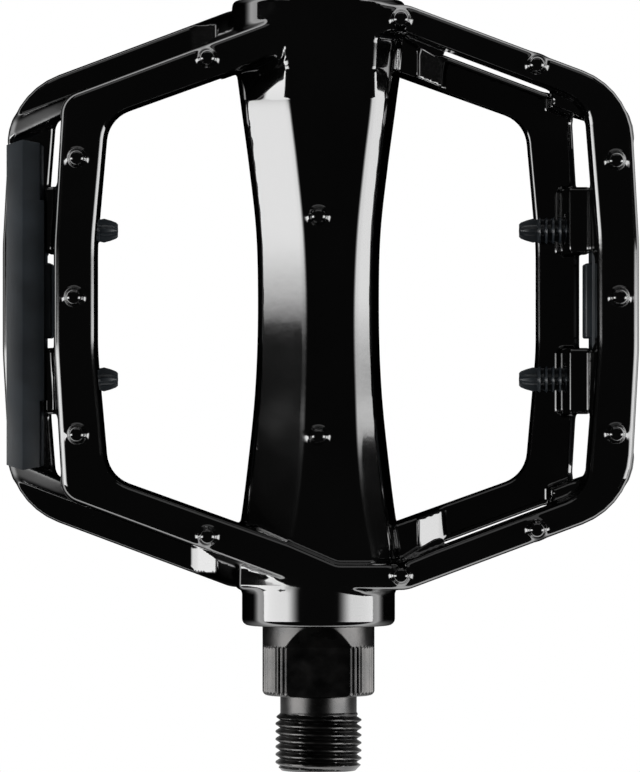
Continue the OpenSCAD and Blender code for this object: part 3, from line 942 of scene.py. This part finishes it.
def steel(name, base, rough, colour_scale, bump_scale=600.0, bump=0.0):
    """A bare metal."""
    return material(name, base, rough, metallic=1.0,
                    colour_scale=colour_scale, bump_scale=bump_scale, bump=bump)


def cage_paint():
    return material("cage_paint", [grey(v) for v in PAINT_BLACK], (0.05, 0.11), coat=1.0,
                    colour_scale=45, bump_scale=520, bump=0.0000035)


def spindle_steel():
    return steel("spindle_steel", (grey(0.035), grey(0.075, WARM_TINT)), (0.24, 0.36), 260, 2600, 0.000004)


def bearing_steel():
    return steel("bearing_steel", (grey(0.38), grey(0.5)), (0.16, 0.28), 300, 3000, 0.000002)


def zinc_steel():
    return steel("zinc_steel", (grey(0.5, ZINC_TINT), grey(0.62)), (0.28, 0.42), 200, 2000, 0.000003)


def ball_steel():
    return steel("ball_steel", (grey(0.7), grey(0.78)), (0.05, 0.09), 400)


def seal_rubber():
    return material("seal_rubber", (grey(0.012), grey(0.022)), (0.55, 0.7),
                    colour_scale=300, bump_scale=2500, bump=0.00001)


def cap_plastic():
    return material("cap_plastic", (grey(0.012), grey(0.02)), (0.38, 0.5),
                    colour_scale=220, bump_scale=2800, bump=0.000008)


def reflector_plastic():
    base = (grey(0.03, COOL_TINTS[0]), grey(0.045, COOL_TINTS[1]))
    return material("reflector_plastic", base, (0.34, 0.46),
                    colour_scale=150, bump_scale=2400, bump=0.000008)


def lens_plastic():
    return material("lens_plastic", AMBERS, (0.1, 0.18), coat=0.6,
                    colour_scale=120, bump_scale=900, bump=0.000002)


def make_materials():
    """Every material, by the name of its slot."""
    return {
        "cage_paint": cage_paint(),
        "spindle_steel": spindle_steel(),
        "bearing_steel": bearing_steel(),
        "zinc_steel": zinc_steel(),
        "ball_steel": ball_steel(),
        "seal_rubber": seal_rubber(),
        "cap_plastic": cap_plastic(),
        "reflector_plastic": reflector_plastic(),
        "lens_plastic": lens_plastic(),
    }


def dress(obj, mat):
    obj.data.materials.clear()
    obj.data.materials.append(mat)


# ---------------------------------------------------------------- stage
# VIEW_CENTRE, SENSOR and both SHADE pairs are in millimetres, the other lengths in metres
FLOOR_Z = CAD_BOX[0][2]
VIEW_CENTRE = (0.25, 51.3)
CAMERA_HEIGHT = 1.0
FRAME_HEIGHT = 0.1282
SENSOR = 36.0
LIGHT_CENTRE = Vector((0, CAGE_Y * MM, 0))
LIGHT_DISTANCE = 3.0
FLOOR_REACH = 3.0
FLOOR_STEPS = 96
FLOOR_GAP = 0.0002
# Half sizes of the floor's painted shadow patch and how far outside it the floor turns from dark to full
SHADE_HALF = (50, 52)
SHADE_REACH = (2, 75)
FLOOR_RADIANCE = 2.6
WORLD_DIM = 0.02
WORLD_PALE = 0.9


def math_node(tree, operation, first, second):
    """A Math node whose inputs are sockets or plain numbers."""
    node = tree.nodes.new("ShaderNodeMath")
    node.operation = operation
    for socket, value in zip(node.inputs, (first, second)):
        if isinstance(value, (int, float)):
            socket.default_value = value
        else:
            tree.links.new(value, socket)
    return node.outputs["Value"]


def fade(tree, value, dark, bright):
    """0 at the dark end of a value's range and 1 at the bright end."""
    node = tree.nodes.new("ShaderNodeMapRange")
    node.interpolation_type = "SMOOTHSTEP"
    tree.links.new(value, node.inputs["Value"])
    low, high = min(dark, bright), max(dark, bright)
    node.inputs["From Min"].default_value = low
    node.inputs["From Max"].default_value = high
    node.inputs["To Min"].default_value = 0.0 if dark < bright else 1.0
    node.inputs["To Max"].default_value = 1.0 if dark < bright else 0.0
    return node.outputs["Result"]


def floor_material():
    """Plain white to the camera; to the gloss paint a glowing floor with a painted shadow under and around
    the cage.
    """
    mat = bpy.data.materials.new("floor_white")
    mat.use_nodes = True
    tree = mat.node_tree
    tree.nodes.clear()
    place = tree.nodes.new("ShaderNodeNewGeometry")
    half = (SHADE_HALF[0] * MM, SHADE_HALF[1] * MM, 1)
    # Distance of a floor point outside the painted shadow patch
    away = place.outputs["Position"]
    for operation, vector in (("SUBTRACT", LIGHT_CENTRE), ("ABSOLUTE", None), ("SUBTRACT", half),
                              ("MAXIMUM", (0, 0, 0)), ("LENGTH", None)):
        node = tree.nodes.new("ShaderNodeVectorMath")
        node.operation = operation
        if vector is not None:
            node.inputs[1].default_value = vector
        tree.links.new(away, node.inputs[0])
        away = node.outputs["Value" if operation == "LENGTH" else "Vector"]
    # Painted shadow: the mirrored floor's glow is dark under the cage and rises to full further out
    lit = fade(tree, away, SHADE_REACH[0] * MM, SHADE_REACH[1] * MM)
    mirrored_floor, seen_floor = (tree.nodes.new("ShaderNodeEmission") for _ in range(2))
    tree.links.new(math_node(tree, "MULTIPLY", lit, FLOOR_RADIANCE), mirrored_floor.inputs["Strength"])
    seen_floor.inputs["Strength"].default_value = 1.0
    path, mix = tree.nodes.new("ShaderNodeLightPath"), tree.nodes.new("ShaderNodeMixShader")
    out = tree.nodes.new("ShaderNodeOutputMaterial")
    tree.links.new(path.outputs["Is Camera Ray"], mix.inputs["Fac"])
    tree.links.new(mirrored_floor.outputs["Emission"], mix.inputs[1])
    tree.links.new(seen_floor.outputs["Emission"], mix.inputs[2])
    tree.links.new(mix.outputs["Shader"], out.inputs["Surface"])
    return mat


def floor():
    """A wide round floor just under the lowest studs."""
    angle = [2 * math.pi * i / FLOOR_STEPS for i in range(FLOOR_STEPS)]
    mesh = bpy.data.meshes.new("studio_floor")
    edge = [(FLOOR_REACH * math.cos(a), FLOOR_REACH * math.sin(a), FLOOR_Z - FLOOR_GAP) for a in angle]
    mesh.from_pydata(edge, [], [list(range(FLOOR_STEPS))])
    obj = bpy.data.objects.new("studio_floor", mesh)
    bpy.context.scene.collection.objects.link(obj)
    obj.data.materials.append(floor_material())


def area_light(name, aim, width, height, radiance):
    """A rectangular light in the direction aim from the cage, facing it; sizes in metres."""
    lamp = bpy.data.lights.new(name, "AREA")
    lamp.shape = "RECTANGLE"
    lamp.size, lamp.size_y = width, height
    lamp.energy = radiance * math.pi * width * height
    obj = bpy.data.objects.new(name, lamp)
    obj.location = LIGHT_CENTRE + aim * LIGHT_DISTANCE
    obj.rotation_euler = (-aim).to_track_quat("-Z", "Y").to_euler()
    bpy.context.scene.collection.objects.link(obj)
    return lamp


def direction(azimuth, polar, side=1):
    """Unit vector; azimuth in radians from the given side towards +Y, polar from +Z."""
    flat = math.sin(polar)
    return Vector((side * flat * math.cos(azimuth), flat * math.sin(azimuth), math.cos(polar)))


def light_directions(tree, side):
    """Sockets with a light point's angle from the side towards +Y and the cosine of its tilt from +Z."""
    place, part = tree.nodes.new("ShaderNodeNewGeometry"), tree.nodes.new("ShaderNodeSeparateXYZ")
    line = tree.nodes.new("ShaderNodeVectorMath")
    line.operation = "SUBTRACT"
    line.inputs[1].default_value = LIGHT_CENTRE
    unit = tree.nodes.new("ShaderNodeVectorMath")
    unit.operation = "NORMALIZE"
    tree.links.new(place.outputs["Position"], line.inputs[0])
    tree.links.new(line.outputs["Vector"], unit.inputs[0])
    tree.links.new(unit.outputs["Vector"], part.inputs["Vector"])
    across = math_node(tree, "MULTIPLY", part.outputs["X"], float(side))
    return math_node(tree, "ARCTAN2", part.outputs["Y"], across), part.outputs["Z"]


def soft_box(name, side, turns, tilts, radiance):
    """A large soft box to one side of the pedal, fading towards its outboard edge and its top.

    turns: where it ends, is last full and has faded out about Z, in degrees from the side towards +Y;
    tilts: where it fades in, is full and ends, in degrees from +Z.
    """
    turns, tilts = [math.radians(t) for t in turns], [math.radians(t) for t in tilts]
    turn, tilt = (turns[0] + turns[2]) / 2, (tilts[0] + tilts[2]) / 2
    width = 2 * LIGHT_DISTANCE * math.tan((turns[2] - turns[0]) / 2) * math.sin(tilt)
    height = 2 * LIGHT_DISTANCE * math.tan((tilts[2] - tilts[0]) / 2)
    lamp = area_light(name, direction(turn, tilt, side), width, height, radiance)
    lamp.use_nodes = True
    tree = lamp.node_tree
    angle, rise = light_directions(tree, side)
    edge = fade(tree, angle, turns[2], turns[1])
    top = fade(tree, rise, math.cos(tilts[0]), math.cos(tilts[1]))
    tree.links.new(math_node(tree, "MULTIPLY", edge, top), tree.nodes["Emission"].inputs["Strength"])


def world():
    """Pale where the camera sees past the floor, dim where the paint would mirror it."""
    w = bpy.data.worlds.new("studio")
    w.use_nodes = True
    nodes, links = w.node_tree.nodes, w.node_tree.links
    nodes.clear()
    path = nodes.new("ShaderNodeLightPath")
    dim, pale = nodes.new("ShaderNodeBackground"), nodes.new("ShaderNodeBackground")
    dim.inputs["Color"].default_value = (*grey(WORLD_DIM), 1)
    pale.inputs["Color"].default_value = (*grey(WORLD_PALE), 1)
    mix, out = nodes.new("ShaderNodeMixShader"), nodes.new("ShaderNodeOutputWorld")
    links.new(path.outputs["Is Camera Ray"], mix.inputs["Fac"])
    links.new(dim.outputs["Background"], mix.inputs[1])
    links.new(pale.outputs["Background"], mix.inputs[2])
    links.new(mix.outputs["Shader"], out.inputs["Surface"])
    bpy.context.scene.world = w


def camera():
    """Straight above the pedal, as in the photo."""
    data = bpy.data.cameras.new("camera")
    data.sensor_width = SENSOR
    data.lens = SENSOR * CAMERA_HEIGHT / FRAME_HEIGHT
    data.clip_start, data.clip_end = 0.01, 20
    obj = bpy.data.objects.new("camera", data)
    obj.location = (VIEW_CENTRE[0] * MM, VIEW_CENTRE[1] * MM, CAMERA_HEIGHT)
    bpy.context.scene.collection.objects.link(obj)
    bpy.context.scene.camera = obj


def studio():
    """Floor, world, camera and lights, fitted to what the photo's gloss paint mirrors."""
    floor()
    world()
    camera()
    soft_box("soft_left", -1, turns=(-17, -2.2, 1.7), tilts=(28, 50, 90), radiance=8.6)
    soft_box("soft_right", 1, turns=(-20, -0.5, 4), tilts=(28, 52, 90), radiance=7.6)
    # A weak panel beyond the outboard end draws thin lines along the edges that face it
    area_light("soft_back", direction(math.radians(90), math.radians(64)), 3.4, 1.7, radiance=0.5)
    bpy.context.scene.view_settings.view_transform = "Standard"


# ---------------------------------------------------------------- assembly
def assemble():
    """Makes the pieces, ties each to its body and dresses the CAD nodes that stay."""
    mats = make_materials()
    pieces = [
        (cast_cage(), "pedal", "cage_body", "cage_paint"),
        (machined_spindle(), "axle", "spindle", "spindle_steel"),
    ]
    for side, word in ((-1, "left"), (1, "right")):
        pieces.append((reflector_housing(side, "housing_" + word), "pedal",
                       "reflector_housing_" + word, "reflector_plastic"))
        pieces.append((reflector_lens(side, "lens_" + word), "pedal",
                       "reflector_lens_" + word, "lens_plastic"))
    for obj, body, node, slot in pieces:
        dress(obj, mats[slot])
        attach(obj, body)
        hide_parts(node)
    replaced = {node for _, _, node, _ in pieces}
    slots = {p["node"]: p["material_slot"] for p in frame["record"]["subparts"]}
    for name, obj in frame["nodes"].items():
        if name not in replaced:
            dress(obj, mats[slots[name]])


assemble()
studio()
